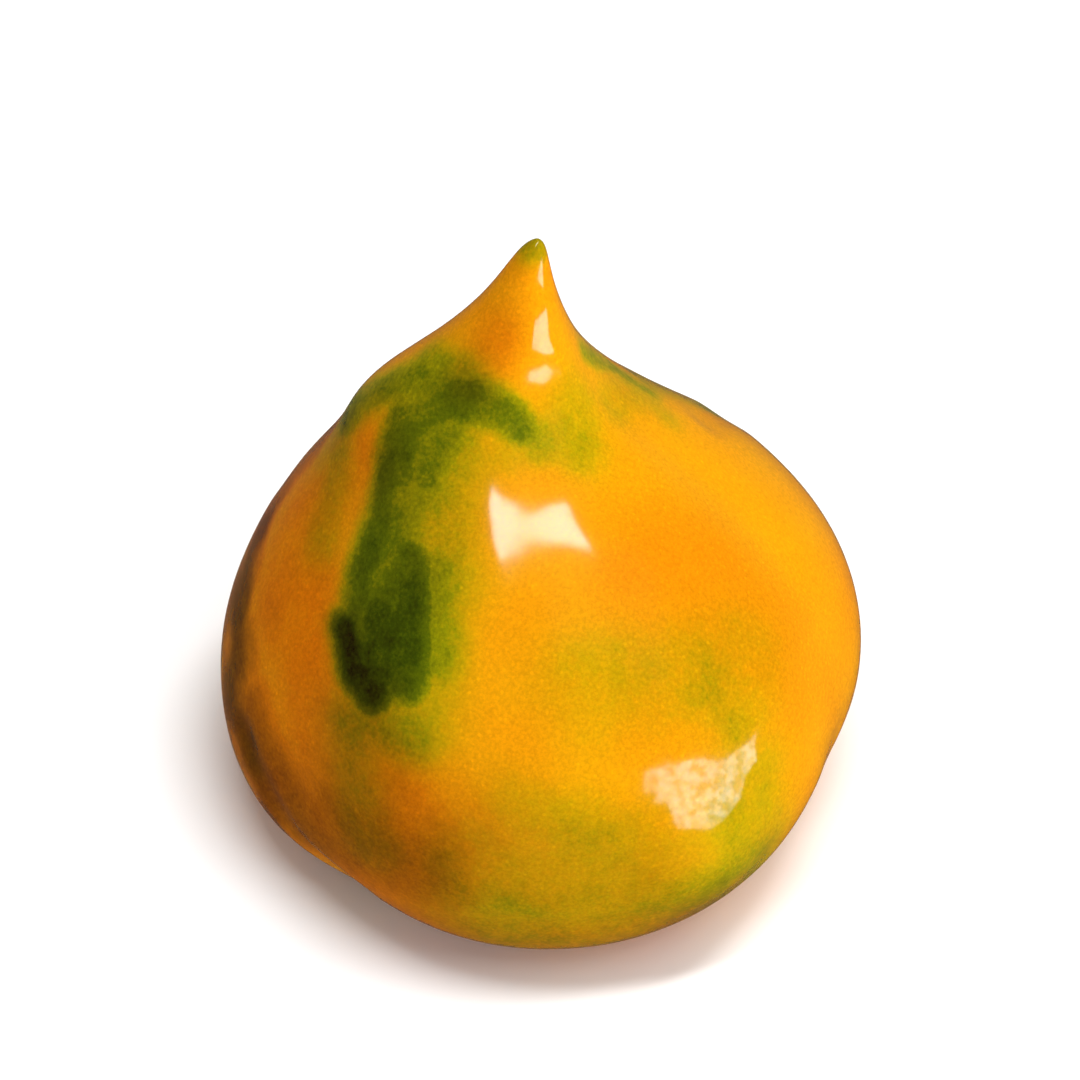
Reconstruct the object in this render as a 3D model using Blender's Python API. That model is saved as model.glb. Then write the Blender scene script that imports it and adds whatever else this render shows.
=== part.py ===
# A whole sweet pepper, standing on its shoulders with the pointed blossom end up.
# Two solids: the fruit, and the green calyx with its cut stem, which sits in the pit underneath.
# Metres, +Z up, the origin on the surface it stands on. The fruit's best side faces -Y.

import math

import bmesh
import bpy
import numpy as np
from mathutils import Matrix, Vector

# Driving dimensions
BODY_RADIUS = 0.040
LEAN_BACK = math.radians(10.0)
LEAN_SIDE = math.radians(-2.0)
FOOT_FLAT = 0.0006

# The meridian from the middle of the stem pit, round the shoulder, to the tip of the spur.
# Each station is a radius and a height above the shoulders' lowest ring, in body radii.
STATIONS = (
    (0.000, 0.290),
    (0.130, 0.270),
    (0.275, 0.190),
    (0.410, 0.080),
    (0.555, 0.010),
    (0.710, 0.035),
    (0.860, 0.120),
    (0.960, 0.260),
    (1.000, 0.450),
    (0.970, 0.670),
    (0.870, 0.880),
    (0.730, 1.060),
    (0.570, 1.210),
    (0.410, 1.340),
    (0.275, 1.470),
    (0.180, 1.620),
    (0.095, 1.790),
    (0.040, 1.920),
    (0.000, 1.960),
)
SHOULDER, WIDEST, UPPER, NECK, TIP = 4.0, 8.0, 12.0, 14.0, 18.0
LEAN_START, LEAN_END = SHOULDER, 9.0

# The creases between the lobes. Azimuth 0 is the front, -Y, and it grows towards +X.
# Each has its azimuth at the shoulder and at the neck, its half width, and its depth in body
# radii at the shoulder, at the widest ring and below the neck.
CREASES = (
    {"low": -44.0, "high": -66.0, "width": 17.0, "depths": (0.105, 0.035, 0.075)},
    {"low": 70.0, "high": 84.0, "width": 15.0, "depths": (0.140, 0.045, 0.100)},
    {"low": 170.0, "high": 176.0, "width": 20.0, "depths": (0.130, 0.040, 0.060)},
    {"low": -124.0, "high": -128.0, "width": 16.0, "depths": (0.100, 0.025, 0.040)},
)
CREASE_START, CREASE_FADE = 0.5, NECK + 1.5
# How much of a crease's depth lifts the shoulder between two lobes.
CREASE_LIFT = 0.9
# How far each lobe's shoulder reaches below the mean ring, in body radii, by azimuth.
LOBE_DROPS = ((5.0, 0.010), (112.0, 0.030), (-150.0, 0.050), (-84.0, 0.020))
LOBE_WIDTH = 42.0

# The body's outline from above: how far it is from round, as waves of two and one to a turn.
OVAL, OVAL_TURN = 0.018, 0.8
LOPSIDE, LOPSIDE_TURN = 0.012, -0.6
# The belly hangs lower on the left by this much, in body radii, and as much higher on the right.
BELLY_TILT = 0.055

# Ridges that run down from the spur's foot: azimuth, half width, and how far they widen the foot.
RIDGES = ((-95.0, 48.0, 0.36), (140.0, 40.0, 0.20))
RIDGE_STATION, RIDGE_REACH = 14.1, 1.3

# The spur leans to one side and its tip hooks back, in body radii.
SPUR_SHIFT = -0.085
SPUR_HOOK = 0.135
SPUR_HOOK_START = NECK - 1.0

# The calyx lies under the pit's skin and the cut stem stands down from it. From the middle of
# the stem's cut face to the calyx's edge: a station of the meridian and the drop below the skin.
CALYX_GAP = 0.0004
STEM_CENTRE_DROP = 0.0064
CALYX_STATIONS = (
    (0.00, STEM_CENTRE_DROP),
    (0.40, STEM_CENTRE_DROP + 0.0001),
    (0.74, STEM_CENTRE_DROP + 0.0002),
    (0.84, STEM_CENTRE_DROP - 0.0001),
    (0.80, STEM_CENTRE_DROP - 0.0012),
    (0.78, STEM_CENTRE_DROP - 0.0024),
    (0.84, STEM_CENTRE_DROP - 0.0035),
    (1.00, 0.0022),
    (1.30, 0.0018),
    (1.60, 0.0016),
    (1.90, 0.0014),
    (2.15, 0.0011),
)
# The pit counts as level up to the first of these stations and follows its own skin from the next.
LEVEL_PIT = 0.7, 1.3
# The sepals' points: how many, how far they reach past the notches in stations, how sharp they
# are, and the station where they start.
SEPALS = 6
SEPAL_REACH = 0.80
SEPAL_SHARPNESS = 1.6
SEPAL_START = 1.2
# How uneven the sepals' reach is, and how far their azimuths wander from even spacing, both as
# waves that start at these turns.
SEPAL_UNEVEN, SEPAL_UNEVEN_TURN = 0.22, 1.0
SEPAL_WANDER, SEPAL_WANDER_TURN = math.radians(11.0), 0.7
# The stem's blunt angles: how many, their depth as a share of its radius, and the stations
# between which they rise and fade.
STEM_ANGLES = 5
STEM_ANGLE_DEPTH = 0.07
STEM_ANGLES_RISE = 0.0, 0.7
STEM_ANGLES_FADE = 0.9, 1.8

FRUIT_SEGMENTS, FRUIT_RINGS = 64, 54
CALYX_SEGMENTS = 72
CALYX_BACK_RINGS = 8
# The back's first ring lies this share of a ring in from the edge, which keeps the edge sharp.
BACK_RING_INSET = 0.5

# Colours and roughness
RIPE_ORANGE, SKIN_ROUGHNESS = (0.90, 0.40, 0.01), 0.22
CALYX_GREEN, CALYX_ROUGHNESS = (0.05, 0.16, 0.02), 0.40


def natural_spline(values):
    """A smooth curve through evenly spaced values, as a function of the station number."""
    count = len(values)
    known = np.zeros(count)
    matrix = np.eye(count)
    for i in range(1, count - 1):
        matrix[i, i - 1 : i + 2] = (1.0, 4.0, 1.0)
        known[i] = 6.0 * (values[i - 1] - 2.0 * values[i] + values[i + 1])
    bends = np.linalg.solve(matrix, known)

    def at(station):
        i = min(max(int(station), 0), count - 2)
        b = station - i
        a = 1.0 - b
        line = a * values[i] + b * values[i + 1]
        return line + ((a**3 - a) * bends[i] + (b**3 - b) * bends[i + 1]) / 6.0

    return at


def smooth(low, high, x):
    """0 below low, 1 above high, and a smooth step between."""
    t = min(max((x - low) / (high - low), 0.0), 1.0)
    return t * t * (3.0 - 2.0 * t)


def turn_between(a, b):
    """The angle from azimuth b to azimuth a in degrees, from -180 to 180."""
    return (a - b + 180.0) % 360.0 - 180.0


radius_at = natural_spline([radius for radius, _ in STATIONS])
height_at = natural_spline([height for _, height in STATIONS])


def crease_depth(crease, station):
    """A crease's depth at a station: none in the pit's middle, deepest on the shoulder."""
    shoulder, widest, upper = crease["depths"]
    depth = shoulder * smooth(CREASE_START, SHOULDER, station)
    depth += (widest - shoulder) * smooth(SHOULDER, WIDEST, station)
    depth += (upper - widest) * smooth(WIDEST, UPPER, station)
    return depth * (1.0 - smooth(UPPER, CREASE_FADE, station))


def fold(station, azimuth):
    """How deep the creases go at a place on the skin, in body radii."""
    depth = 0.0
    for crease in CREASES:
        middle = crease["low"] + (crease["high"] - crease["low"]) * smooth(
            WIDEST, NECK, station
        )
        across = turn_between(azimuth, middle) / crease["width"]
        depth += crease_depth(crease, station) / (1.0 + across * across)
    return depth


def lobe_drop(azimuth):
    """How far the shoulder of the lobe at this azimuth reaches down, in body radii."""
    return sum(
        drop * math.exp(-((turn_between(azimuth, middle) / LOBE_WIDTH) ** 2))
        for middle, drop in LOBE_DROPS
    )


def ridge_share(station, azimuth):
    """How much the ridges widen the spur's foot at a place on the skin."""
    along = math.exp(-(((station - RIDGE_STATION) / RIDGE_REACH) ** 2))
    return along * sum(
        rise * math.exp(-((turn_between(azimuth, middle) / width) ** 2))
        for middle, width, rise in RIDGES
    )


def skin_point(station, azimuth):
    """A point of the fruit's skin, at a station of the meridian and an azimuth in degrees."""
    depth = fold(station, azimuth)
    angle = math.radians(azimuth)
    girth = 1.0 + ridge_share(station, azimuth)
    girth += OVAL * math.sin(2.0 * angle + OVAL_TURN) + LOPSIDE * math.sin(angle + LOPSIDE_TURN)
    radius = radius_at(station) * girth * (1.0 - depth)
    belly = smooth(SHOULDER, WIDEST, station) * (1.0 - smooth(WIDEST, NECK, station))
    height = height_at(station) + BELLY_TILT * belly * math.sin(angle)
    shoulder = smooth(0.0, SHOULDER, station) * (1.0 - smooth(SHOULDER, WIDEST, station))
    height += shoulder * (CREASE_LIFT * depth - lobe_drop(azimuth))
    shift = SPUR_SHIFT * smooth(WIDEST, NECK, station)
    shift += SPUR_HOOK * smooth(SPUR_HOOK_START, TIP, station)
    return Vector(
        (radius * math.sin(angle) + shift, -radius * math.cos(angle), height)
    )


def skin_place(station, azimuth):
    """The same point in metres, with the fruit leaning more and more above its level shoulders."""
    share = smooth(LEAN_START, LEAN_END, station)
    lean = Matrix.Rotation(share * LEAN_SIDE, 4, "Y") @ Matrix.Rotation(-share * LEAN_BACK, 4, "X")
    return lean @ (skin_point(station, azimuth) * BODY_RADIUS)


def round_skin(name, segments, rings, place):
    """A closed skin: a sphere whose rings and segments are moved to place(ring, azimuth)."""
    sheet = bmesh.new()
    bmesh.ops.create_uvsphere(sheet, u_segments=segments, v_segments=rings, radius=1.0)
    for vertex in sheet.verts:
        ring = rings * math.acos(min(max(-vertex.co.z, -1.0), 1.0)) / math.pi
        azimuth = math.degrees(math.atan2(vertex.co.x, -vertex.co.y))
        vertex.co = place(ring, azimuth)
    bmesh.ops.recalc_face_normals(sheet, faces=sheet.faces)
    mesh = bpy.data.meshes.new(name)
    sheet.to_mesh(mesh)
    sheet.free()
    mesh.shade_smooth()
    return bpy.data.objects.new(name, mesh)


def add_fruit():
    """The fruit's skin, from the middle of the stem pit at ring 0 to the spur's tip."""
    return round_skin(
        "fruit",
        FRUIT_SEGMENTS,
        FRUIT_RINGS,
        lambda ring, azimuth: skin_place(TIP * ring / FRUIT_RINGS, azimuth),
    )


def sepal_reach(azimuth):
    """How far the calyx's edge reaches past its notches, rising steeply to each sepal's point."""
    angle = math.radians(azimuth)
    wave = abs(math.sin((angle + SEPAL_WANDER * math.sin(angle + SEPAL_WANDER_TURN)) * SEPALS / 2.0))
    uneven = 1.0 + SEPAL_UNEVEN * math.sin(2.0 * angle + SEPAL_UNEVEN_TURN)
    return SEPAL_REACH * uneven * (1.0 - wave) ** SEPAL_SHARPNESS


def below_pit(station, azimuth, drop):
    """A place this far under the pit's skin."""
    return skin_place(station, azimuth) - Vector((0.0, 0.0, drop))


def below_level_pit(station, azimuth, drop):
    """The same where the pit counts as level near its middle, so that the cut face is flat."""
    place = below_pit(station, azimuth, drop)
    level = below_pit(0.0, azimuth, drop)
    place.z = level.z + (place.z - level.z) * smooth(*LEVEL_PIT, station)
    return place


def add_calyx_and_stem():
    """Ring 0 is the middle of the stem's cut face, and the last ring the pit's middle."""
    front_rings = len(CALYX_STATIONS) - 1
    rings = front_rings + CALYX_BACK_RINGS

    def place(ring, azimuth):
        edge = CALYX_STATIONS[front_rings][0] + sepal_reach(azimuth)
        if round(ring) > front_rings:
            station = edge * (rings - round(ring)) / (CALYX_BACK_RINGS - BACK_RING_INSET)
            return below_pit(station, azimuth, CALYX_GAP)
        station, drop = CALYX_STATIONS[round(ring)]
        middle = smooth(*STEM_ANGLES_RISE, station) * (1.0 - smooth(*STEM_ANGLES_FADE, station))
        station *= 1.0 + STEM_ANGLE_DEPTH * middle * math.cos(math.radians(STEM_ANGLES * azimuth))
        outer = smooth(SEPAL_START, CALYX_STATIONS[front_rings][0], station)
        station += (edge - CALYX_STATIONS[front_rings][0]) * outer
        return below_level_pit(station, azimuth, drop)

    return round_skin("calyx_and_stem", CALYX_SEGMENTS, rings, place)


def settle(fruit, calyx):
    """Sets the shoulders' feet flat on the surface, with the fruit's box centred on the origin."""
    corners = [vertex.co for vertex in fruit.data.vertices]
    middle = Vector(
        (
            (min(c.x for c in corners) + max(c.x for c in corners)) / 2.0,
            (min(c.y for c in corners) + max(c.y for c in corners)) / 2.0,
            min(c.z for c in corners) + FOOT_FLAT,
        )
    )
    for piece in (fruit, calyx):
        for vertex in piece.data.vertices:
            vertex.co -= middle
            vertex.co.z = max(vertex.co.z, 0.0)


def finish(name, colour, roughness):
    material = bpy.data.materials.new(name)
    material.use_nodes = True
    shader = material.node_tree.nodes["Principled BSDF"]
    shader.inputs["Base Color"].default_value = (*colour, 1.0)
    shader.inputs["Roughness"].default_value = roughness
    shader.inputs["Metallic"].default_value = 0.0
    return material


def clear_scene():
    for obj in list(bpy.data.objects):
        bpy.data.objects.remove(obj)


def main():
    clear_scene()
    collection = bpy.data.collections.new("sweet_pepper")
    bpy.context.scene.collection.children.link(collection)
    fruit = add_fruit()
    calyx = add_calyx_and_stem()
    settle(fruit, calyx)
    fruit.data.materials.append(finish("ripe_skin", RIPE_ORANGE, SKIN_ROUGHNESS))
    calyx.data.materials.append(finish("green_calyx", CALYX_GREEN, CALYX_ROUGHNESS))
    for piece in (fruit, calyx):
        collection.objects.link(piece)


main()
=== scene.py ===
import math

import bmesh
import bpy
import numpy as np
from mathutils import Matrix, Vector, noise
from mathutils.bvhtree import BVHTree


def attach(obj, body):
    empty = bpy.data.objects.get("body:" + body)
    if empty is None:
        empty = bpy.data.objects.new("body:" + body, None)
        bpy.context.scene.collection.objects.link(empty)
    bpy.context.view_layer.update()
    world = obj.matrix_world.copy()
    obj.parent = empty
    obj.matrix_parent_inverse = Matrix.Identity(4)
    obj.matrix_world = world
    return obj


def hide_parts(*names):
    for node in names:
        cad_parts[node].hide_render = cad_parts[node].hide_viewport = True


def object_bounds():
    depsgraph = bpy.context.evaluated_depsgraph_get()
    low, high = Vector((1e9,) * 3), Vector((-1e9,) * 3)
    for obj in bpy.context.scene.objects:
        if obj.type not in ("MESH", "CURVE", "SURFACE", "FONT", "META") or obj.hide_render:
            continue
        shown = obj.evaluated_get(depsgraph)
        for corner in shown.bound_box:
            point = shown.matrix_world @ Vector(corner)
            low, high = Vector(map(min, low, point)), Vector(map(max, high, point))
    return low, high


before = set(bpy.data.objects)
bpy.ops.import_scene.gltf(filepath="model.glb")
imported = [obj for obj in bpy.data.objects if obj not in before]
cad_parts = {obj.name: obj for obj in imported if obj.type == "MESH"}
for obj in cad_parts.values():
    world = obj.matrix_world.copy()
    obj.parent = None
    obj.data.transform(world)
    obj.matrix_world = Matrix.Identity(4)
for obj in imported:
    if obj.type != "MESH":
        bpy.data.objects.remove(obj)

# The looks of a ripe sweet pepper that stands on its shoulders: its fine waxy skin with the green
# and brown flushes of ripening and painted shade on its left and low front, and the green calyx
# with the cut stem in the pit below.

CAD_BOX = [list(corner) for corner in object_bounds()]
MM = 0.001

# The points of a CAD node are merged at this distance, its triangles are paired into faces that
# bend and skew by no more than these angles, and the faces are then split this many times
MERGE_DISTANCE = 0.001 * MM
PAIR_BEND = math.radians(50.0)
PAIR_SKEW = math.radians(60.0)
SKIN_LEVELS = 2
CALYX_LEVELS = 3


# Shaping helpers

def ease(low, high, x):
    """0 below low, 1 above high, and a smooth step between, for numbers and arrays."""
    t = np.clip((x - low) / (high - low), 0.0, 1.0)
    return t * t * (3.0 - 2.0 * t)


def finer_copy(node, name, levels):
    """A finer copy of a CAD node: merged, back to four-sided faces, and subdivided."""
    sheet = bmesh.new()
    sheet.from_mesh(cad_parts[node].data)
    bmesh.ops.remove_doubles(sheet, verts=sheet.verts, dist=MERGE_DISTANCE)
    bmesh.ops.join_triangles(
        sheet,
        faces=sheet.faces,
        angle_face_threshold=PAIR_BEND,
        angle_shape_threshold=PAIR_SKEW,
    )
    coarse = bpy.data.meshes.new(name + "_coarse")
    sheet.to_mesh(coarse)
    sheet.free()
    piece = bpy.data.objects.new(name, coarse)
    bpy.context.scene.collection.objects.link(piece)
    finer = piece.modifiers.new("finer", "SUBSURF")
    finer.levels = finer.render_levels = levels
    settled = piece.evaluated_get(bpy.context.evaluated_depsgraph_get())
    piece.data = bpy.data.meshes.new_from_object(settled)
    piece.modifiers.clear()
    piece.data.name = name
    piece.data.shade_smooth()
    bpy.data.meshes.remove(coarse)
    return piece


def places_of(piece):
    places = np.empty(len(piece.data.vertices) * 3)
    piece.data.vertices.foreach_get("co", places)
    return places.reshape(-1, 3)


def normals_of(piece):
    normals = np.empty(len(piece.data.vertices) * 3, np.float32)
    piece.data.vertex_normals.foreach_get("vector", normals)
    return normals.reshape(-1, 3).astype(float)


def set_places(piece, places):
    piece.data.vertices.foreach_set("co", places.ravel())
    piece.data.update()


# How far the noise is shifted from one seed to the next
SEED_STEPS = 3.7, -2.3, 5.1


def waves(places, size, seed, octaves=1):
    """Smooth noise from about -1 to 1 at each place, with swells of the given size."""
    shift = Vector([seed * step for step in SEED_STEPS])
    values = np.zeros(len(places))
    for octave in range(octaves):
        scale = 2.0**octave / size
        values += np.array([noise.noise(Vector(p) * scale + shift) for p in places]) / 2.0**octave
    return values


def mark(piece, name, values):
    """Keeps one value for each point, for the materials to read."""
    layer = piece.data.attributes.new(name, "FLOAT", "POINT")
    layer.data.foreach_set("value", np.asarray(values, dtype=np.float32))


# Places on the skin are given in mm as seen from the front or the back (x, z), the left (y, z), or
# the top or below (x, y). A ray from outside finds each place. Where it misses the skin, the place
# is the one nearest to where the ray passes the fruit's middle.
SIDE_START, TOP_START, BELOW_START = 100.0, 150.0, -50.0
TOP_MIDDLE, BELOW_MIDDLE = 40.0, 10.0


def skin_finder(piece):
    """A function that finds the place on the piece's skin from a side and two coordinates."""
    sheet = bmesh.new()
    sheet.from_mesh(piece.data)
    tree = BVHTree.FromBMesh(sheet)
    sheet.free()

    def find(side, a, b):
        start, way, middle = {
            "front": ((a, -SIDE_START, b), (0, 1, 0), (a, 0.0, b)),
            "back": ((a, SIDE_START, b), (0, -1, 0), (a, 0.0, b)),
            "left": ((-SIDE_START, a, b), (1, 0, 0), (0.0, a, b)),
            "top": ((a, b, TOP_START), (0, 0, -1), (a, b, TOP_MIDDLE)),
            "below": ((a, b, BELOW_START), (0, 0, 1), (a, b, BELOW_MIDDLE)),
        }[side]
        place, _, _, _ = tree.ray_cast(Vector(start) * MM, Vector(way))
        if place is None:
            place, _, _, _ = tree.find_nearest(Vector(middle) * MM)
        return np.array(place)

    return find


# The square of a stroke's length is taken as this at least, so that it can be divided by
LEAST_LENGTH_SQUARED = 1e-12


def stroke_mask(places, find, side, points, wide, soft):
    """1 within wide mm of a stroke through these points on the skin, falling to 0 soft mm on."""
    path = [find(side, *point) for point in points]
    nearest = np.full(len(places), np.inf)
    for start, end in zip(path, path[1:]):
        along = end - start
        length_squared = max(float(along @ along), LEAST_LENGTH_SQUARED)
        share = np.clip(((places - start) @ along) / length_squared, 0.0, 1.0)
        gap = np.linalg.norm(places - (start + share[:, None] * along), axis=1)
        nearest = np.minimum(nearest, gap)
    return 1.0 - ease(wide * MM, (wide + soft) * MM, nearest)


# Low swells and dents of the skin: seen from where, their centre, their radius and their height,
# all in mm.
SWELLS = (
    ("front", (0.3, 68.5), 4.5, 0.35),
    ("front", (0.0, 60.8), 5.5, -0.45),
    ("front", (19.5, 20.2), 12.5, 1.70),
    ("front", (22.5, 36.0), 9.0, -0.45),
    ("front", (8.0, 41.0), 8.0, -0.18),
    ("front", (-30.0, 20.0), 8.0, -0.40),
    ("front", (-20.0, 24.0), 9.0, 0.30),
    ("front", (-14.0, 44.0), 7.0, -0.20),
    ("front", (15.5, 29.5), 2.6, 0.045),
    ("front", (19.0, 27.0), 2.4, -0.045),
    ("front", (22.0, 30.0), 2.4, 0.045),
    ("front", (17.0, 24.5), 2.2, -0.04),
    ("back", (14.0, 40.0), 10.0, -0.40),
    ("back", (-18.0, 30.0), 11.0, 0.45),
    ("back", (4.0, 24.0), 9.0, -0.35),
)

# A shallow hollow under the spur, a flat down the spur, and creases between the lobes: seen from
# where, their points, half width, fade and depth, all in mm
GROOVES = (
    ("front", ((-11.0, 54.7), (-4.0, 55.0), (3.0, 54.2), (10.0, 52.4)), 0.0, 8.0, 0.09),
    ("front", ((3.5, 54.0), (10.0, 52.4)), 0.0, 6.0, 0.07),
    ("front", ((0.5, 67.0), (0.0, 59.5)), 0.6, 3.4, 0.20),
    ("front", ((-35.0, 20.0), (-31.5, 14.5), (-27.0, 10.5), (-21.0, 8.0)), 0.3, 3.0, 0.50),
    ("front", ((35.0, 18.0), (31.0, 26.0), (28.5, 30.0)), 0.3, 4.5, 0.24),
    ("back", ((-30.0, 34.0), (-26.0, 20.0), (-18.0, 9.0)), 0.3, 4.0, 0.35),
    ("back", ((20.0, 44.0), (23.0, 30.0), (20.0, 12.0)), 0.3, 4.0, 0.35),
)

# The flushes of ripening, with painted shade on the left lobe and low on the front: which mask,
# seen from where, its points, half width and fade in mm, and its strength. In the green mask 0.3 is
# olive and 1 nearly black green, and in the brown mask, which also carries the painted shade, 0.4
# is deep orange and 1 dark brown.
FLUSHES = (
    # The green streak that leaves the foot of the spur and hooks down over the left lobe
    ("green", "front", ((-2.5, 59.8), (-5.0, 61.0), (-8.5, 61.2)), 0.6, 4.4, 0.58),
    ("green", "front", ((-8.5, 61.2), (-12.0, 59.2), (-15.5, 57.0), (-17.0, 54.0)), 1.0, 5.4, 0.60),
    ("green", "front", ((-10.5, 58.0), (-12.5, 55.0)), 0.6, 5.4, 0.50),
    ("green", "front", ((-17.0, 54.0), (-18.5, 50.8), (-19.8, 47.0)), 0.4, 5.4, 0.62),
    ("green", "front", ((-19.8, 47.0), (-21.0, 43.5), (-22.0, 40.5)), 0.6, 5.4, 0.68),
    ("green", "front", ((-9.0, 63.0), (-13.0, 61.5), (-16.0, 58.8)), 0.6, 5.0, 0.46),
    ("green", "top", ((-13.0, 3.5), (-17.0, 5.5), (-20.0, 7.0), (-22.5, 7.5)), 1.0, 5.0, 0.52),
    ("green", "top", ((-22.5, 7.5), (-25.5, 6.0)), 0.6, 6.0, 0.26),
    ("green", "front", ((-23.5, 49.0), (-25.5, 43.0)), 0.6, 5.5, 0.33),
    ("green", "front", ((-11.0, 55.0), (-11.5, 49.0)), 1.5, 8.5, 0.36),
    ("green", "front", ((-14.5, 55.0), (-15.5, 50.0)), 1.0, 6.0, 0.46),
    ("green", "front", ((-17.5, 50.0), (-18.5, 45.0), (-18.5, 41.0)), 1.0, 5.0, 0.56),
    ("green", "front", ((-12.2, 49.0), (-11.6, 43.0)), 0.6, 6.0, 0.44),
    ("green", "front", ((-12.5, 42.0), (-13.5, 36.5)), 0.6, 7.5, 0.34),
    ("green", "front", ((-20.5, 35.5), (-15.0, 35.5)), 0.6, 7.0, 0.42),
    ("green", "front", ((-22.0, 33.0), (-21.5, 27.0), (-20.0, 21.0)), 0.6, 8.5, 0.36),
    # Its dark patch
    ("patch", "front", ((-12.9, 47.9), (-13.4, 45.3)), 2.4, 4.6, 0.71),
    ("patch", "front", ((-13.4, 45.3), (-14.8, 41.5)), 3.0, 4.6, 0.73),
    ("patch", "front", ((-15.2, 48.8), (-17.2, 46.6)), 1.2, 5.0, 0.66),
    ("patch", "front", ((-18.6, 43.5), (-19.0, 40.4)), 1.6, 4.2, 0.82),
    ("patch", "front", ((-22.8, 40.2), (-21.8, 38.0), (-19.4, 37.4)), 0.5, 4.8, 0.93),
    # Round the foot of the spur
    ("green", "front", ((-6.5, 57.6), (-4.0, 57.2), (0.0, 57.8)), 0.6, 4.4, 0.24),
    ("green", "front", ((0.0, 58.2), (3.5, 57.6)), 0.8, 5.0, 0.38),
    ("green", "front", ((4.0, 59.2), (5.2, 56.2)), 1.0, 7.0, 0.36),
    ("green", "top", ((8.5, 6.5), (10.5, 10.5)), 1.2, 5.5, 0.32),
    ("green", "top", ((15.0, 9.5), (12.5, 12.0)), 0.6, 4.5, 0.28),
    ("green", "top", ((5.3, 9.9), (8.3, 13.6), (12.9, 13.6)), 0.4, 3.2, 0.44),
    # Olive mottling over the right lobe and the foot
    ("green", "front", ((6.0, 42.5), (14.0, 41.5), (24.0, 38.5)), 2.5, 11.0, 0.28),
    ("green", "front", ((9.0, 43.0), (11.0, 42.2)), 0.3, 5.5, 0.28),
    ("green", "front", ((17.5, 42.0), (19.0, 39.0)), 0.4, 6.0, 0.28),
    ("green", "front", ((20.5, 37.8), (22.5, 35.4)), 0.6, 6.5, 0.30),
    ("green", "front", ((24.0, 27.0), (24.0, 20.0), (20.0, 14.0)), 2.0, 12.0, 0.31),
    ("green", "front", ((22.0, 13.0), (8.0, 12.0), (-4.0, 14.0)), 3.0, 14.0, 0.37),
    ("green", "front", ((9.0, 24.0), (14.0, 21.0), (20.0, 22.0)), 2.0, 9.0, 0.20),
    ("green", "front", ((15.0, 31.0), (20.0, 29.0), (25.0, 30.0)), 2.0, 7.0, 0.18),
    # Partly painted shade: olive darkening across the middle of the front, low down
    ("green", "front", ((-2.0, 31.0), (4.0, 29.0), (9.0, 27.0)), 1.0, 9.0, 0.27),
    ("green", "front", ((-9.0, 24.0), (-2.0, 22.0), (5.0, 23.0)), 2.0, 9.0, 0.28),
    # Deep orange over the left lobe, and painted shade in dark brown and olive along its left edge,
    # over the lower left, on the spur's left side and across the bottom of the front
    ("brown_and_shade", "front", ((-22.0, 51.0), (-28.0, 42.0), (-32.0, 34.0)), 2.0, 9.0, 0.38),
    ("brown_and_shade", "front", ((-26.5, 40.0), (-27.0, 32.0), (-25.0, 24.0)), 1.5, 9.0, 0.36),
    ("brown_and_shade", "left", ((6.5, 33.5), (0.5, 28.5), (-6.2, 24.1), (-14.0, 19.0)), 1.4, 6.5, 0.88),
    ("brown_and_shade", "left", ((-14.0, 19.0), (-20.0, 14.0)), 1.4, 7.5, 0.78),
    ("brown_and_shade", "left", ((12.0, 44.0), (9.0, 37.0)), 1.4, 7.5, 0.56),
    ("brown_and_shade", "front", ((-34.0, 23.0), (-31.0, 18.0), (-28.0, 14.0)), 1.5, 7.5, 0.70),
    ("brown_and_shade", "front", ((-27.0, 17.0), (-21.0, 19.0), (-15.0, 20.0)), 2.0, 12.0, 0.62),
    ("brown_and_shade", "front", ((-22.0, 32.0), (-15.0, 26.0)), 2.0, 10.0, 0.42),
    ("brown_and_shade", "front", ((-15.0, 27.0), (-4.0, 25.0), (9.0, 22.0)), 3.0, 10.0, 0.24),
    ("brown_and_shade", "front", ((-9.0, 66.0), (-5.0, 67.0)), 0.6, 5.0, 0.30),
    ("brown_and_shade", "front", ((-14.0, 8.0), (2.0, 7.0), (14.0, 8.0)), 2.0, 13.0, 0.46),
    ("green", "left", ((1.0, 29.0), (-6.0, 24.0), (-14.0, 19.0)), 0.5, 6.5, 0.22),
    # The right flank, the back and the underside
    ("brown_and_shade", "front", ((14.0, 49.0), (20.0, 45.0), (27.0, 38.0)), 3.0, 12.0, 0.13),
    ("green", "back", ((12.0, 48.0), (18.0, 41.0), (21.0, 32.0)), 0.8, 6.0, 0.42),
    ("green", "back", ((21.0, 34.0), (19.0, 26.0)), 1.2, 6.0, 0.56),
    ("green", "back", ((-6.0, 52.0), (-10.0, 44.0), (-12.0, 34.0)), 0.6, 6.0, 0.34),
    ("green", "back", ((-12.0, 34.0), (-10.0, 22.0), (-14.0, 12.0)), 1.2, 9.0, 0.22),
    ("green", "back", ((6.0, 14.0), (18.0, 12.0), (26.0, 15.0)), 2.0, 10.0, 0.24),
    ("brown_and_shade", "back", ((24.0, 30.0), (24.0, 20.0), (14.0, 14.0)), 2.5, 10.0, 0.50),
    ("brown_and_shade", "back", ((-30.0, 16.0), (-20.0, 10.0)), 2.0, 11.0, 0.36),
    ("brown_and_shade", "back", ((4.0, 46.0), (6.0, 34.0)), 2.0, 11.0, 0.20),
    ("green", "below", ((0.0, 0.0), (4.0, -2.0)), 9.0, 12.0, 0.46),
    ("green", "below", ((-18.0, -20.0), (-24.0, 2.0)), 1.0, 9.0, 0.28),
    ("green", "below", ((20.0, -14.0), (25.0, 4.0)), 1.0, 9.0, 0.30),
    ("brown_and_shade", "below", ((-6.0, -24.0), (-22.0, -14.0)), 2.0, 10.0, 0.40),
)

# Where two flushes of a mask overlap, this share of the weaker one is added to the stronger
OVERLAP_SHARE = 0.3

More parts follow.
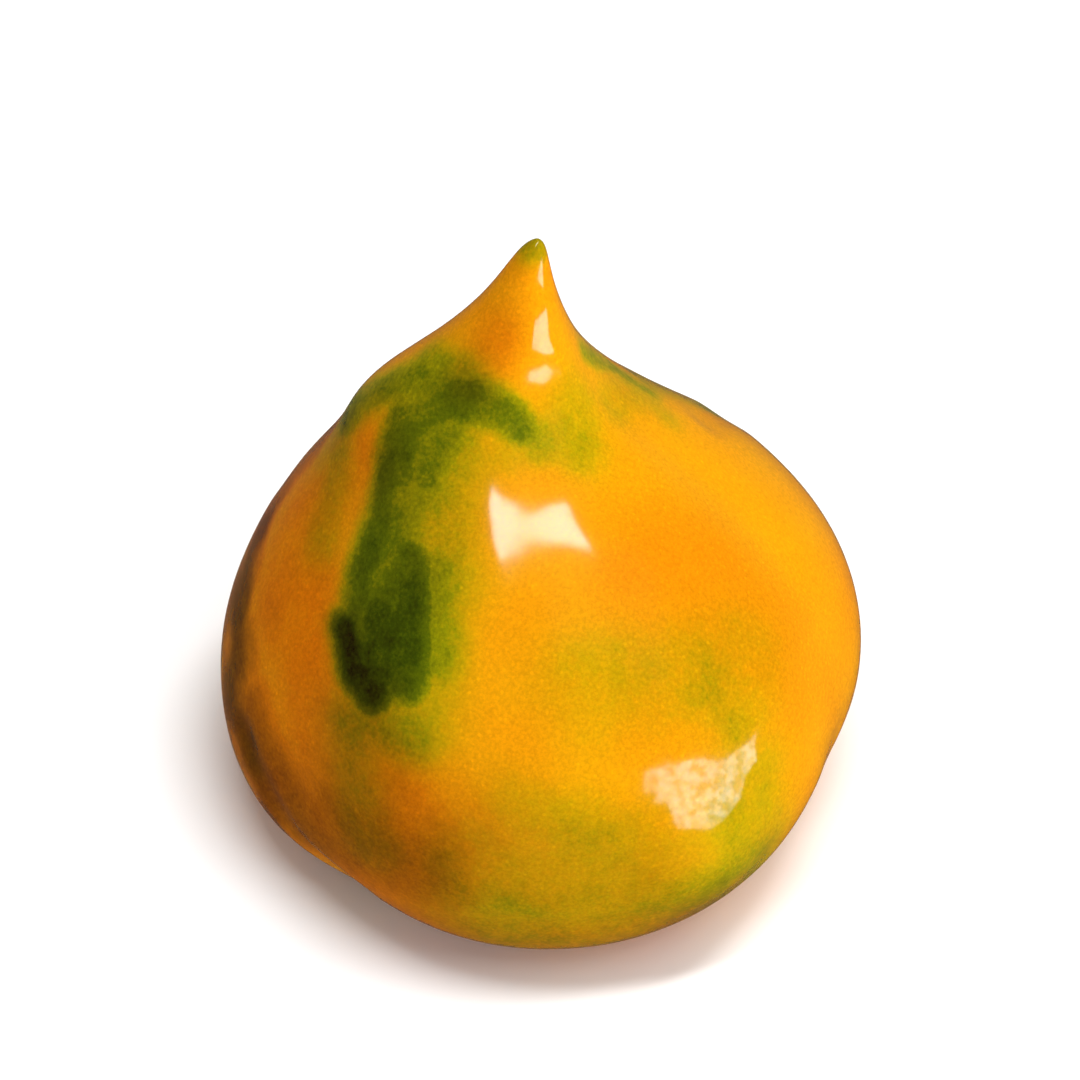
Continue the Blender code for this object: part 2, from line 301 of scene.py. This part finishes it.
# The flushes' outlines wander by about this many mm, in waves of this size, on the sides that face
# the camera and on the others
CAMERA_SIDES = "front", "top"
CAMERA_SIDE_DRIFT, OTHER_DRIFT = 0.8, 4.0
DRIFT_SIZE = 9.0 * MM
DRIFT_SEEDS = 11, 12, 13

# The relief of the whole skin: the waves' height and size in mm, their seed, and the share of their
# height that is missing on the spur
SKIN_WAVES = (
    (0.14, 16.0, 1, 0.0),
    (0.022, 5.0, 2, 0.5),
    (0.009, 2.4, 7, 0.5),
)
# The feet stay flat: all the relief rises from nothing at the floor to full at this height
FEET_HEIGHT = 3.0 * MM
SPUR_HEIGHTS = 60.0 * MM, 68.0 * MM

# The part of the right lobe whose skin is finely pebbled: seen from where, its points, half width
# and fade in mm; and the pebbles' height, size and seed
PEBBLED = "front", ((14.0, 30.0), (26.0, 28.0)), 4.0, 6.0
PEBBLE_HEIGHT = 0.027 * MM
PEBBLE_SIZE = 1.7 * MM
PEBBLE_SEED = 8

# The dried tip of the spur starts to turn olive at this height and is olive from the next
TIP_HEIGHTS = 72.8 * MM, 75.6 * MM
TIP_GREEN = 0.46


def mark_flushes(skin, places, find):
    """Keeps the green, patch and brown masks on the skin's points."""
    drift = np.stack([waves(places, DRIFT_SIZE, seed, 2) for seed in DRIFT_SEEDS], axis=1) * MM
    masks = {}
    for name, side, points, wide, soft, strength in FLUSHES:
        reach = CAMERA_SIDE_DRIFT if side in CAMERA_SIDES else OTHER_DRIFT
        one = strength * stroke_mask(places + reach * drift, find, side, points, wide, soft)
        so_far = masks.get(name, 0.0)
        more, less = np.maximum(so_far, one), np.minimum(so_far, one)
        masks[name] = more + OVERLAP_SHARE * less * (1.0 - more)
    masks["green"] = np.maximum(masks["green"], TIP_GREEN * ease(*TIP_HEIGHTS, places[:, 2]))
    for name, values in masks.items():
        mark(skin, name, values)


def build_skin():
    """The whole fruit's skin, with its flushes, low swells, dents, creases and fine relief."""
    skin = finer_copy("fruit", "pepper_skin", SKIN_LEVELS)
    places = places_of(skin)
    normals = normals_of(skin)
    find = skin_finder(skin)
    mark_flushes(skin, places, find)

    spur = ease(*SPUR_HEIGHTS, places[:, 2])
    relief = np.zeros(len(places))
    for height, size, seed, missing in SKIN_WAVES:
        relief += height * MM * waves(places, size * MM, seed) * (1.0 - missing * spur)
    pebbled = stroke_mask(places, find, *PEBBLED)
    relief += PEBBLE_HEIGHT * waves(places, PEBBLE_SIZE, PEBBLE_SEED) * pebbled
    mark(skin, "pebbled", pebbled)
    for side, centre, radius, height in SWELLS:
        gap = np.linalg.norm(places - find(side, *centre), axis=1) / (radius * MM)
        relief += height * MM * np.clip(1.0 - gap * gap, 0.0, 1.0) ** 2
    for side, points, wide, soft, depth in GROOVES:
        relief -= depth * MM * stroke_mask(places, find, side, points, wide, soft)
    relief *= ease(0.0, FEET_HEIGHT, places[:, 2])
    set_places(skin, places + normals * relief[:, None])

    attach(skin, "root")
    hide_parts("fruit")
    return skin


# The calyx: the middle of its stem (x, y), the radius and the height of the stem's cut face with
# their soft edges, the azimuths of the sepals' points in degrees, and the steps in degrees by which
# the reach of its edge is measured
STEM_MIDDLE = np.array((0.38, -2.65)) * MM
CUT_RADIUS, CUT_RADIUS_SOFT = 4.3 * MM, 0.2 * MM
CUT_HEIGHT, CUT_HEIGHT_SOFT = 4.5 * MM, 0.3 * MM
SEPAL_TIPS = (-148.0, -97.0, -43.0, 24.0, 97.0, 161.0)
EDGE_STEP = 4.0

# Where its parts start and end: by how far they are from the stem's middle, and by how much their
# skin faces up
STEM_REACH = 6.2 * MM, 4.9 * MM
STEM_FACING = 0.6, 0.9
SEPALS_REACH = 4.8 * MM, 6.4 * MM
OUTSIDE_FACING = 0.15, -0.35
DRY_TIPS_REACH = 13.0 * MM, 15.5 * MM
# The same by the share of the way from the stem's middle to the edge
RIB_FADE = 0.80, 1.0
VEIN_FADE = 0.75, 0.95
CURL_START = 0.84, 1.0
RIM_START = 0.86, 1.0

# Ribs down the sepals' middles, with veins that slant away from them
RIB_HALF_WIDTH = 0.55 * MM
VEIN_SPACING, VEIN_SLANT, VEIN_SHARPNESS = 1.2 * MM, 1.1, 4
VEIN_WANDER, VEIN_WANDER_SIZE = 0.5 * MM, 3.5 * MM
VEIN_GAP = 0.4 * MM, 1.0 * MM
VEIN_PALENESS = 0.35
PUCKER_SIZE = 2.6 * MM
# Heights in mm
RIB_HEIGHT, VEIN_HEIGHT, PUCKER_HEIGHT, CURL_HEIGHT = 0.30, 0.045, 0.12, 0.26

# The stem's flutes and long grain, and the cut face's hollow, ring and grain, with heights in mm
FLUTES, FLUTE_HEIGHT = 10.0, 0.10
STEM_GRAIN_SIZE, STEM_GRAIN_STRETCH, STEM_GRAIN_HEIGHT = 0.9 * MM, (1.0, 1.0, 0.25), 0.07
HOLLOW_SHARES, HOLLOW_DEPTH = (0.9, 0.4), 0.28
RING_SHARE, RING_WIDTH, RING_HEIGHT = 0.70, 0.45 * MM, 0.12
CUT_GRAIN_SIZE, CUT_GRAIN_HEIGHT = 0.7 * MM, 0.05


def edge_reach(azimuths, reach):
    """How far the calyx reaches from the stem's middle at each point's azimuth."""
    turns = np.radians(np.arange(-180.0, 181.0, EDGE_STEP))
    bins = np.digitize(azimuths, turns) % (len(turns) - 1)
    widest = np.array([reach[bins == i].max() for i in range(len(turns) - 1)])
    middles = turns[:-1] - math.radians(EDGE_STEP / 2.0)
    return np.interp(azimuths, middles, widest, period=2.0 * math.pi)


def build_calyx():
    """The green calyx with ribbed sepals pressed into the pit, and the stem cut off short."""
    calyx = finer_copy("calyx_and_stem", "calyx_and_cut_stem", CALYX_LEVELS)
    places = places_of(calyx)
    normals = normals_of(calyx)
    flat = places[:, :2] - STEM_MIDDLE
    reach = np.linalg.norm(flat, axis=1)
    azimuths = np.arctan2(flat[:, 1], flat[:, 0])
    share = reach / edge_reach(azimuths, reach)

    cut = ease(CUT_RADIUS + CUT_RADIUS_SOFT, CUT_RADIUS - CUT_RADIUS_SOFT, reach)
    cut = cut * ease(CUT_HEIGHT + CUT_HEIGHT_SOFT, CUT_HEIGHT, places[:, 2])
    stem = ease(*STEM_REACH, reach) * (1.0 - cut) * (1.0 - ease(*STEM_FACING, normals[:, 2]))
    sepal = ease(*SEPALS_REACH, reach) * ease(*OUTSIDE_FACING, normals[:, 2])

    aside = np.full(len(places), 1.0)
    for tip in SEPAL_TIPS:
        turn = (azimuths - math.radians(tip) + math.pi) % (2.0 * math.pi) - math.pi
        aside = np.minimum(aside, np.abs(turn) * reach)
    rib = np.exp(-((aside / RIB_HALF_WIDTH) ** 2)) * (1.0 - ease(*RIB_FADE, share))
    along = reach - VEIN_SLANT * aside + VEIN_WANDER * waves(places, VEIN_WANDER_SIZE, 6)
    vein = (0.5 + 0.5 * np.cos(along / VEIN_SPACING * 2.0 * math.pi)) ** VEIN_SHARPNESS
    vein *= ease(*VEIN_GAP, aside) * (1.0 - ease(*VEIN_FADE, share))
    curl = ease(*CURL_START, share)
    puckers = waves(places, PUCKER_SIZE, 3, 2)

    relief = sepal * (
        RIB_HEIGHT * rib + VEIN_HEIGHT * vein + PUCKER_HEIGHT * puckers + CURL_HEIGHT * curl
    )
    grain = waves(places * STEM_GRAIN_STRETCH, STEM_GRAIN_SIZE, 4)
    relief += stem * (FLUTE_HEIGHT * np.cos(FLUTES * azimuths) + STEM_GRAIN_HEIGHT * grain)
    hollow = ease(*HOLLOW_SHARES, reach / CUT_RADIUS)
    ring = np.exp(-(((reach - RING_SHARE * CUT_RADIUS) / RING_WIDTH) ** 2))
    grain = waves(places, CUT_GRAIN_SIZE, 5)
    relief += cut * (RING_HEIGHT * ring - HOLLOW_DEPTH * hollow + CUT_GRAIN_HEIGHT * grain)
    set_places(calyx, places + normals * (relief * MM)[:, None])

    rim = ease(*RIM_START, share)
    mark(calyx, "rib", np.maximum(rib, VEIN_PALENESS * vein) * sepal)
    mark(calyx, "rim", rim)
    mark(calyx, "tip", rim * ease(*DRY_TIPS_REACH, reach))
    mark(calyx, "stem", stem)
    mark(calyx, "cut", cut)
    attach(calyx, "root")
    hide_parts("calyx_and_stem")
    return calyx


# Materials

# A flush has all of its grain where it is at least this strong, and this share where it is 0
GRAIN_FULL_AT = 0.5
LEAST_GRAIN = 0.12

RANGE_KEYS = "From Min", "From Max", "To Min", "To Max"


class Wiring:
    """Places nodes in a material's tree and joins them."""

    def __init__(self, name):
        self.material = bpy.data.materials.new(name)
        self.material.use_nodes = True
        self.tree = self.material.node_tree
        self.shader = self.tree.nodes["Principled BSDF"]

    def node(self, kind, **settings):
        made = self.tree.nodes.new(kind)
        for key, value in settings.items():
            setattr(made, key, value)
        return made

    def join(self, start, end):
        self.tree.links.new(start, end)

    def settle(self, values):
        """Sets the shader's own sockets to these values."""
        for key, value in values.items():
            self.shader.inputs[key].default_value = value

    def object_place(self):
        return self.node("ShaderNodeTexCoord").outputs["Object"]

    def noise(self, size, detail=3.0, roughness=0.55, seed=0.0):
        made = self.node("ShaderNodeTexNoise", noise_dimensions="4D")
        made.inputs["W"].default_value = seed
        made.inputs["Scale"].default_value = 1.0 / size
        made.inputs["Detail"].default_value = detail
        made.inputs["Roughness"].default_value = roughness
        self.join(self.object_place(), made.inputs["Vector"])
        return made.outputs["Fac"]

    def value(self, name):
        return self.node("ShaderNodeAttribute", attribute_name=name).outputs["Fac"]

    def math(self, operation, first, second=None, clamp=False):
        made = self.node("ShaderNodeMath", operation=operation, use_clamp=clamp)
        for socket, given in zip(made.inputs, (first, second)):
            if given is None:
                continue
            if isinstance(given, (int, float)):
                socket.default_value = given
            else:
                self.join(given, socket)
        return made.outputs["Value"]

    def spread(self, value, low, high, to_low=0.0, to_high=1.0):
        """A smooth step from to_low to to_high, as the value runs from low to high."""
        made = self.node("ShaderNodeMapRange", interpolation_type="SMOOTHSTEP")
        for key, number in zip(RANGE_KEYS, (low, high, to_low, to_high)):
            made.inputs[key].default_value = number
        self.join(value, made.inputs["Value"])
        return made.outputs["Result"]

    def blend(self, share, first, second, mode="MIX"):
        made = self.node("ShaderNodeMix", data_type="RGBA", blend_type=mode)
        shares, first_colour, second_colour = (
            next(s for s in made.inputs if s.identifier == key)
            for key in ("Factor_Float", "A_Color", "B_Color")
        )
        for socket, given in ((shares, share), (first_colour, first), (second_colour, second)):
            if isinstance(given, tuple):
                socket.default_value = (*given, 1.0)
            elif isinstance(given, float):
                socket.default_value = given
            else:
                self.join(given, socket)
        return next(s for s in made.outputs if s.identifier == "Result_Color")

    def tint(self, colour, mask, share, over):
        """The colour with this share of another over it, where the mask is 1."""
        return self.blend(self.math("MULTIPLY", mask, share, clamp=True), colour, over)

    def ramp(self, value, stops):
        """A colour that runs through these stops, each a position and a colour."""
        made = self.node("ShaderNodeValToRGB")
        elements = made.color_ramp.elements
        while len(elements) < len(stops):
            elements.new(1.0)
        for element, (position, colour) in zip(elements, stops):
            element.position = position
            element.color = (*colour, 1.0)
        self.join(value, made.inputs["Fac"])
        return made.outputs["Color"]

    def add_grain(self, value, size, amount, seed):
        """The value with fine noise over it, stronger where the value is high."""
        swing = self.math("SUBTRACT", self.noise(size, roughness=0.6, seed=seed), 0.5)
        reach = self.spread(value, 0.0, GRAIN_FULL_AT, LEAST_GRAIN * amount, amount)
        return self.math("ADD", value, self.math("MULTIPLY", swing, reach))

    def bump(self, height, strength, depth):
        """Relief too fine for the mesh."""
        made = self.node("ShaderNodeBump")
        made.inputs["Strength"].default_value = strength
        made.inputs["Distance"].default_value = depth
        self.join(height, made.inputs["Height"])
        self.join(made.outputs["Normal"], self.shader.inputs["Normal"])


# The ripe colour drifts between these two, in waves of this size. A spread says between which
# values of the noise a change takes place.
RIPE_COLOURS = (0.63, 0.212, 0.0012), (0.64, 0.260, 0.0015)
RIPE_SIZE, RIPE_SPREAD = 24.0 * MM, (0.35, 0.65)

# The dark patch ends sharply at this x, with a brighter green rim that has this share of its
# darkness. The edge wanders by this much, in waves of this size.
PATCH_EDGE, PATCH_EDGE_SOFT = -11.7 * MM, 0.8 * MM
PATCH_RIM, PATCH_RIM_SHARE = 2.6 * MM, 0.72
PATCH_WANDER, PATCH_WANDER_SIZE = 0.8 * MM, 2.5 * MM

# The grain of the flushes: its size, amount and seed in the green ones, and how far on the seed is
# in the brown ones, which also carry painted shade
FLUSH_GRAINS = (
    (6.0 * MM, 0.34, 2.0),
    (1.6 * MM, 0.26, 3.0),
    (0.5 * MM, 0.30, 4.0),
)
BROWN_AND_SHADE_SEED_STEP = 10.0

# What the ripe colour is multiplied by, as a flush grows from 0 to 1; the dark end of the brown
# mask's stops is mostly painted shade
BROWN_AND_SHADE_STOPS = (
    (0.00, (1.0, 1.0, 1.0)),
    (0.40, (0.82, 0.58, 0.60)),
    (0.70, (0.46, 0.33, 0.50)),
    (1.00, (0.16, 0.11, 0.40)),
)
GREEN_STOPS = (
    (0.00, (1.0, 1.0, 1.0)),
    (0.16, (0.88, 1.0, 0.9)),
    (0.32, (0.66, 1.0, 0.8)),
    (0.48, (0.36, 0.82, 0.8)),
    (0.64, (0.140, 0.440, 0.8)),
    (0.82, (0.056, 0.210, 0.6)),
    (1.00, (0.021, 0.042, 0.5)),
)

# The skin's fine flecks: their size, and from how dark to how light they make it
FLECK_SIZE, FLECK_SPREAD = 0.45 * MM, (0.25, 0.75)
FLECK_SHADES = 0.84, 1.12

# The pale specks of the skin: their spacing, where each starts to fade and where it ends as shares
# of that spacing, and how strong they are
SPECK_SPACING = 1.1 * MM
SPECK_REACH = 0.10, 0.26
SPECK_STRENGTH = 0.15

PORE_SIZE, PORE_STRENGTH, PORE_DEPTH = 0.6 * MM, 0.35, 0.05 * MM

# The wax is dulled in spots of this size: how much of it is missing at most where the skin is
# pebbled, and the share of that elsewhere
DULL_SIZE, DULL_SPREAD = 1.5 * MM, (0.38, 0.62)
DULLEST = 0.7
DULL_ELSEWHERE = 0.2

SKIN_FINISH = {
    "Roughness": 0.38,
    "Specular IOR Level": 0.0,
    "Coat Roughness": 0.09,
    "Coat IOR": 1.30,
    "Subsurface Weight": 0.08,
    "Subsurface Radius": (1.0, 0.35, 0.05),
    "Subsurface Scale": 2.0 * MM,
}


def flush_masks(w):
    """The green mask with the dark patch in it and the brown mask with its painted shade, both with
    their grain.
    """
    place = w.node("ShaderNodeSeparateXYZ")
    w.join(w.object_place(), place.inputs["Vector"])
    wander = w.math("MULTIPLY", w.noise(PATCH_WANDER_SIZE, seed=7.0), PATCH_WANDER)
    edge = w.math("ADD", place.outputs["X"], wander)
    inside = w.spread(edge, PATCH_EDGE + PATCH_EDGE_SOFT, PATCH_EDGE - PATCH_EDGE_SOFT)
    rim = w.spread(edge, PATCH_EDGE - PATCH_RIM, PATCH_EDGE, 1.0, PATCH_RIM_SHARE)
    patch = w.math("MULTIPLY", w.math("MULTIPLY", w.value("patch"), inside), rim)
    green = w.math("MAXIMUM", w.value("green"), patch)
    brown_and_shade = w.value("brown_and_shade")
    for size, amount, seed in FLUSH_GRAINS:
        green = w.add_grain(green, size, amount, seed)
        brown_and_shade = w.add_grain(brown_and_shade, size, amount, seed + BROWN_AND_SHADE_SEED_STEP)
    return green, brown_and_shade


def fine_shade(w):
    """The flecks and the pale specks, as a grey for the colour to be multiplied by."""
    flecks = w.noise(FLECK_SIZE, detail=2.0, roughness=0.7, seed=5.0)
    fleck = w.spread(flecks, *FLECK_SPREAD, *FLECK_SHADES)
    specks = w.node("ShaderNodeTexVoronoi")
    specks.inputs["Scale"].default_value = 1.0 / SPECK_SPACING
    w.join(w.object_place(), specks.inputs["Vector"])
    speck = w.spread(specks.outputs["Distance"], *SPECK_REACH, SPECK_STRENGTH, 0.0)
    brightness = w.math("ADD", fleck, speck)
    grey = w.node("ShaderNodeCombineColor")
    for key in ("Red", "Green", "Blue"):
        w.join(brightness, grey.inputs[key])
    return grey.outputs["Color"]


def skin_material():
    w = Wiring("ripe_waxy_skin")
    drift = w.spread(w.noise(RIPE_SIZE, detail=2.0, seed=1.3), *RIPE_SPREAD)
    colour = w.blend(drift, *RIPE_COLOURS)
    green, brown_and_shade = flush_masks(w)
    for flush, stops in ((brown_and_shade, BROWN_AND_SHADE_STOPS), (green, GREEN_STOPS)):
        colour = w.blend(1.0, colour, w.ramp(flush, stops), "MULTIPLY")
    colour = w.blend(1.0, colour, fine_shade(w), "MULTIPLY")
    w.join(colour, w.shader.inputs["Base Color"])
    w.bump(w.noise(PORE_SIZE, roughness=0.6, seed=6.0), PORE_STRENGTH, PORE_DEPTH)

    spots = w.noise(DULL_SIZE, detail=4.0, roughness=0.7, seed=12.0)
    dulling = w.spread(spots, *DULL_SPREAD, DULLEST, 0.0)
    share = w.spread(w.value("pebbled"), 0.0, 1.0, DULL_ELSEWHERE, 1.0)
    wax = w.math("SUBTRACT", 1.0, w.math("MULTIPLY", dulling, share))
    w.join(wax, w.shader.inputs["Coat Weight"])
    w.settle(SKIN_FINISH)
    return w.material


# The calyx is mottled with two greens. Over them lie this share of each of these colours on the
# ribs, the rim, the stem and the grain, and on the dry tips a share that is this at least.
CALYX_GREENS = (0.022, 0.075, 0.008), (0.055, 0.145, 0.014)
RIB_SHARE, RIB_COLOUR = 0.65, (0.150, 0.260, 0.040)
RIM_SHARE, RIM_COLOUR = 0.50, (0.160, 0.210, 0.040)
TIP_LEAST_SHARE, TIP_COLOUR = 0.25, (0.130, 0.070, 0.020)
STEM_SHARE, STEM_COLOUR = 0.55, (0.095, 0.180, 0.030)
GRAIN_SHARE, GRAIN_COLOUR = 0.25, (0.030, 0.050, 0.010)
MOTTLE_SIZE, GRAIN_SIZE = 2.4 * MM, 0.5 * MM
CALYX_SPREAD = 0.30, 0.70

# The cut face's rings, at shares of its radius, how far they wander, and the brown over them
CUT_STOPS = (
    (0.00, (0.46, 0.50, 0.26)),
    (0.52, (0.40, 0.46, 0.20)),
    (0.66, (0.13, 0.20, 0.05)),
    (0.76, (0.26, 0.34, 0.11)),
    (0.90, (0.34, 0.40, 0.16)),
    (1.00, (0.10, 0.17, 0.03)),
)
RING_WANDER = 0.5 * MM
CUT_GRAIN_SHARE, CUT_GRAIN_COLOUR = 0.35, (0.22, 0.17, 0.07)

CALYX_ROUGHNESS, CUT_ROUGHNESS = 0.42, 0.80
CREASE_SIZE, CREASE_STRENGTH, CREASE_DEPTH = 0.7 * MM, 0.5, 0.08 * MM


def cut_face_colour(w, mottle, grain):
    """Pale and green rings round the middle of the cut stem."""
    level = w.node("ShaderNodeVectorMath", operation="MULTIPLY")
    level.inputs[1].default_value = (1.0, 1.0, 0.0)
    w.join(w.object_place(), level.inputs[0])
    away = w.node("ShaderNodeVectorMath", operation="DISTANCE")
    away.inputs[1].default_value = (*STEM_MIDDLE, 0.0)
    w.join(level.outputs["Vector"], away.inputs[0])
    wander = w.math("MULTIPLY", w.math("SUBTRACT", mottle, 0.5), RING_WANDER)
    share = w.math("DIVIDE", w.math("ADD", away.outputs["Value"], wander), CUT_RADIUS)
    return w.tint(w.ramp(share, CUT_STOPS), grain, CUT_GRAIN_SHARE, CUT_GRAIN_COLOUR)


def calyx_material():
    w = Wiring("satin_calyx")
    mottle = w.spread(w.noise(MOTTLE_SIZE, detail=4.0, seed=8.0), *CALYX_SPREAD)
    grain = w.spread(w.noise(GRAIN_SIZE, roughness=0.6, seed=9.0), *CALYX_SPREAD)
    colour = w.blend(mottle, *CALYX_GREENS)
    colour = w.tint(colour, w.value("rib"), RIB_SHARE, RIB_COLOUR)
    colour = w.tint(colour, w.value("rim"), RIM_SHARE, RIM_COLOUR)
    uneven = w.math("ADD", mottle, TIP_LEAST_SHARE)
    colour = w.tint(colour, w.value("tip"), uneven, TIP_COLOUR)
    colour = w.tint(colour, w.value("stem"), STEM_SHARE, STEM_COLOUR)
    colour = w.blend(w.value("cut"), colour, cut_face_colour(w, mottle, grain))
    colour = w.tint(colour, grain, GRAIN_SHARE, GRAIN_COLOUR)
    w.join(colour, w.shader.inputs["Base Color"])

    roughness = w.spread(w.value("cut"), 0.0, 1.0, CALYX_ROUGHNESS, CUT_ROUGHNESS)
    w.join(roughness, w.shader.inputs["Roughness"])
    creases = w.noise(CREASE_SIZE, detail=4.0, roughness=0.6, seed=11.0)
    w.bump(creases, CREASE_STRENGTH, CREASE_DEPTH)
    w.settle({"Specular IOR Level": 0.35})
    return w.material


def floor_material():
    w = Wiring("pale_floor")
    w.settle({
        "Base Color": (0.92, 0.92, 0.92, 1.0),
        "Roughness": 0.9,
        "Specular IOR Level": 0.1,
    })
    return w.material


# The studio

CAMERA_HEIGHT_ANGLE = math.radians(45.0)
CAMERA_DISTANCE = 0.70
FRAME_HEIGHT = 0.128
SENSOR = 36.0
FLOOR_HALF_WIDTH = 3.0

# The soft boxes: the way to each from the fruit's middle, its distance, width, height and power,
# how many degrees it is turned from level, and whether gloss mirrors it
SOFT_BOXES = {
    "soft_key": ((0.40, -0.22, 0.88), 1.2, 0.90, 0.90, 6.7, 0.0, False),
    "overhead_box": ((0.092, -0.114, 0.98), 1.0, 0.70, 0.115, 7.8, 24.0, True),
    "right_box": ((0.80, -0.60, 0.055), 1.0, 0.80, 0.20, 8.6, -8.0, True),
}

# The even light from all round, and its brightness in gloss, before the fruit and behind it. It
# changes from one to the other as the y of the way to it runs between these.
WORLD_LIGHT = 0.34
GLOSS_FRONT, GLOSS_BEHIND = 0.05, 0.09
GLOSS_CHANGE = 0.60, 0.80


def add_floor():
    sheet = bmesh.new()
    bmesh.ops.create_grid(sheet, x_segments=1, y_segments=1, size=FLOOR_HALF_WIDTH)
    mesh = bpy.data.meshes.new("floor")
    sheet.to_mesh(mesh)
    sheet.free()
    floor = bpy.data.objects.new("floor", mesh)
    bpy.context.scene.collection.objects.link(floor)
    mesh.materials.append(floor_material())
    floor.visible_glossy = False


def add_camera(target):
    data = bpy.data.cameras.new("camera")
    data.sensor_width = SENSOR
    data.lens = SENSOR * CAMERA_DISTANCE / FRAME_HEIGHT
    camera = bpy.data.objects.new("camera", data)
    back = Vector((0.0, -math.cos(CAMERA_HEIGHT_ANGLE), math.sin(CAMERA_HEIGHT_ANGLE)))
    camera.location = target + back * CAMERA_DISTANCE
    camera.rotation_euler = back.to_track_quat("Z", "Y").to_euler()
    bpy.context.scene.collection.objects.link(camera)
    bpy.context.scene.camera = camera


def add_soft_box(name, target, way, distance, wide, high, power, turn, mirrored):
    data = bpy.data.lights.new(name, "AREA")
    data.shape = "RECTANGLE"
    data.size, data.size_y = wide, high
    data.energy = power
    light = bpy.data.objects.new(name, data)
    way = Vector(way).normalized()
    light.location = target + way * distance
    across = (Vector((1.0, 0.0, 0.0)) - way * way.x).normalized()
    across = Matrix.Rotation(math.radians(turn), 3, way) @ across
    light.rotation_euler = Matrix((across, way.cross(across), way)).transposed().to_euler()
    light.visible_glossy = mirrored
    bpy.context.scene.collection.objects.link(light)


def add_surroundings():
    """Even white light from all round; in the fruit's gloss only the part behind it is bright."""
    world = bpy.data.worlds.new("studio")
    world.use_nodes = True
    tree = world.node_tree
    path = tree.nodes.new("ShaderNodeLightPath")
    way = tree.nodes.new("ShaderNodeTexCoord")
    parts = tree.nodes.new("ShaderNodeSeparateXYZ")
    tree.links.new(way.outputs["Generated"], parts.inputs["Vector"])
    gloss = tree.nodes.new("ShaderNodeMapRange")
    for key, number in zip(RANGE_KEYS, (*GLOSS_CHANGE, GLOSS_FRONT, GLOSS_BEHIND)):
        gloss.inputs[key].default_value = number
    tree.links.new(parts.outputs["Y"], gloss.inputs["Value"])
    strength = tree.nodes.new("ShaderNodeMix")
    strength.inputs["A"].default_value = WORLD_LIGHT
    tree.links.new(path.outputs["Is Glossy Ray"], strength.inputs["Factor"])
    tree.links.new(gloss.outputs["Result"], strength.inputs["B"])
    tree.links.new(strength.outputs["Result"], tree.nodes["Background"].inputs["Strength"])
    tree.nodes["Background"].inputs["Color"].default_value = (1.0, 1.0, 1.0, 1.0)
    bpy.context.scene.world = world


def add_studio():
    low, high = (Vector(corner) for corner in CAD_BOX)
    target = (low + high) / 2.0
    add_floor()
    add_camera(target)
    for name, box in SOFT_BOXES.items():
        add_soft_box(name, target, *box)
    add_surroundings()
    bpy.context.scene.view_settings.view_transform = "Standard"
    bpy.context.scene.view_settings.look = "None"


def dress(piece, material):
    """Gives the piece this material alone."""
    piece.data.materials.clear()
    piece.data.materials.append(material)


def main():
    dress(build_skin(), skin_material())
    dress(build_calyx(), calyx_material())
    add_studio()


main()
